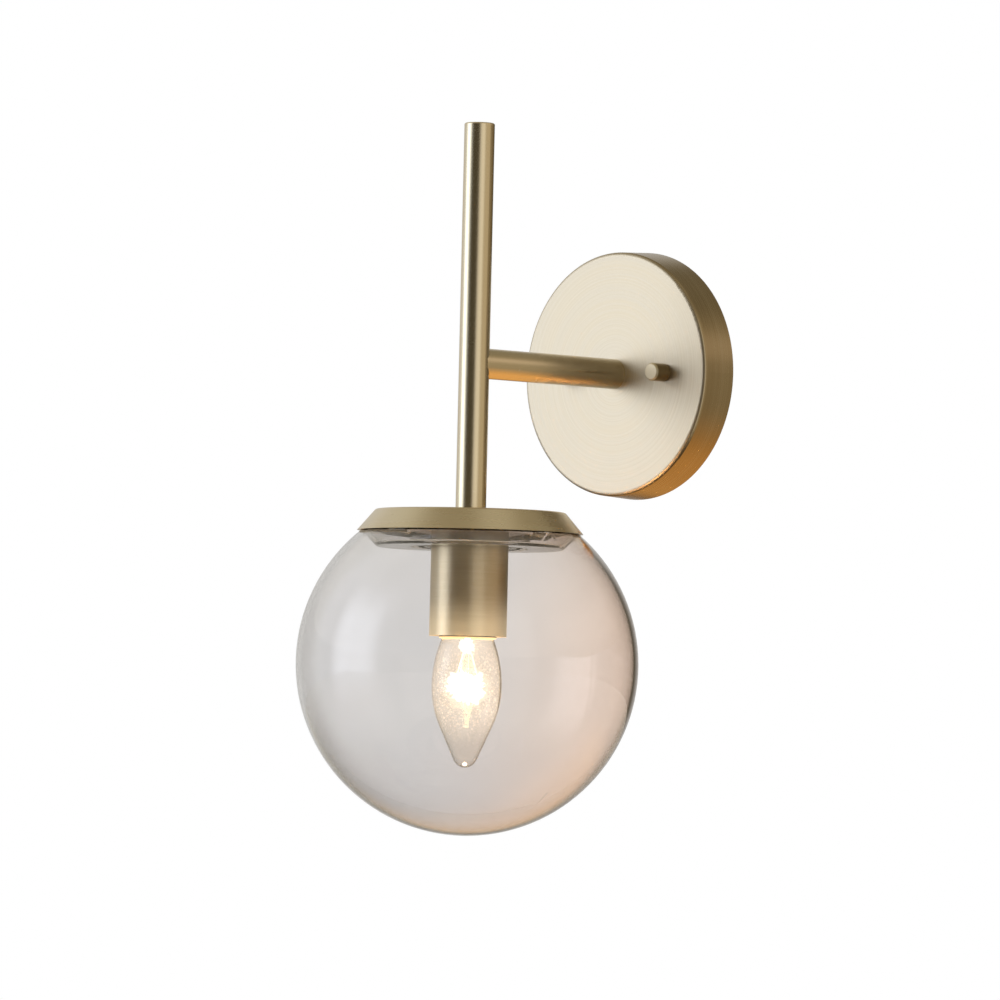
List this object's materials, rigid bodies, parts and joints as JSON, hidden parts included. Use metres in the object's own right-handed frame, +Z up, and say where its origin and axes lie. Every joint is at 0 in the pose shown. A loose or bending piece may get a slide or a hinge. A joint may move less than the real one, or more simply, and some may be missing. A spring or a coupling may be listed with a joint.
{
  "type": "globe wall sconce",
  "caption": "Wall sconce with a clear glass globe under a shallow cap, hung from a tall stem on a short arm from a round backplate, with a candle bulb in a metal cup.",
  "frame": {"origin": "centre of the backplate and wall bracket on the wall plane", "axes": "+Z up along the stem, +Y into the wall, lamp stands out along -Y, +X to the right seen from the front"},
  "size_m": [0.168, 0.2053, 0.35],
  "materials": {
    "satin_brass": "satin, brushed, lacquered",
    "plain_brass": "machined",
    "zinc_steel": "zinc plated",
    "clear_glass": "clear, blown, very slightly smoky",
    "bulb_glass": "clear",
    "gasket_rubber": "matt silicone",
    "holder_plastic": "heat-resistant, matt",
    "block_plastic": "moulded nylon",
    "bulb_metal": "nickel-plated brass",
    "black_glass": "black glass",
    "lead_wire": "drawn wire",
    "filament": "tungsten coil, lit",
    "wire_brown": "wire insulation",
    "wire_blue": "wire insulation",
    "wire_green": "green and yellow insulation"
  },
  "bodies": {
    "lamp": {"backplate": "satin_brass", "shade_cap": "satin_brass", "socket_cup": "satin_brass", "arm_tube": "satin_brass", "stem_tube": "satin_brass", "stem_top_plug": "satin_brass", "wall_bracket": "zinc_steel", "bracket_studs": "zinc_steel", "stud_lock_nuts": "zinc_steel", "globe_fitter": "zinc_steel", "globe_gasket": "gasket_rubber", "lamp_holder_body": "holder_plastic", "lamp_holder_shell": "plain_brass", "lamp_holder_contact": "plain_brass", "lamp_holder_terminals": "plain_brass", "earth_screw": "plain_brass", "earth_eyelet": "zinc_steel", "arm_wall_bush": "plain_brass", "arm_stem_bush": "plain_brass", "arm_wall_nipple": "zinc_steel", "arm_stem_nipple": "zinc_steel", "arm_washer": "zinc_steel", "arm_lock_nut": "zinc_steel", "stem_joint_block": "plain_brass", "stem_bush": "plain_brass", "stem_nipple": "zinc_steel", "cup_washer": "zinc_steel", "cup_lock_nut": "zinc_steel", "terminal_block": "block_plastic", "terminal_barrels": "plain_brass", "terminal_screws": "zinc_steel", "terminal_block_fixings": "zinc_steel", "live_wire": "wire_brown", "neutral_wire": "wire_blue", "earth_wire": "wire_green"},
    "globe": {"globe_glass": "clear_glass"},
    "bulb": {"bulb_glass": "bulb_glass", "bulb_base": "bulb_metal", "bulb_insulator": "black_glass", "bulb_contact": "bulb_metal", "bulb_stem": "bulb_glass", "bulb_lead_wires": "lead_wire", "bulb_filament": "filament"},
    "left_knob": {"knob_nut_left": "satin_brass"},
    "right_knob": {"knob_nut_right": "satin_brass"}
  },
  "joints": [
    {"name": "globe_lift_off", "type": "slide", "parent": "lamp", "child": "globe", "axis": [0, 0, -1], "range_m": [0, 0.13]},
    {"name": "bulb_unscrew", "type": "slide", "parent": "lamp", "child": "bulb", "axis": [0, 0, -1], "range_m": [0, 0.026]},
    {"name": "left_knob_unscrew", "type": "slide", "parent": "lamp", "child": "left_knob", "axis": [0, -1, 0], "range_m": [0, 0.012]},
    {"name": "right_knob_unscrew", "type": "slide", "parent": "lamp", "child": "right_knob", "axis": [0, -1, 0], "range_m": [0, 0.012]}
  ]
}
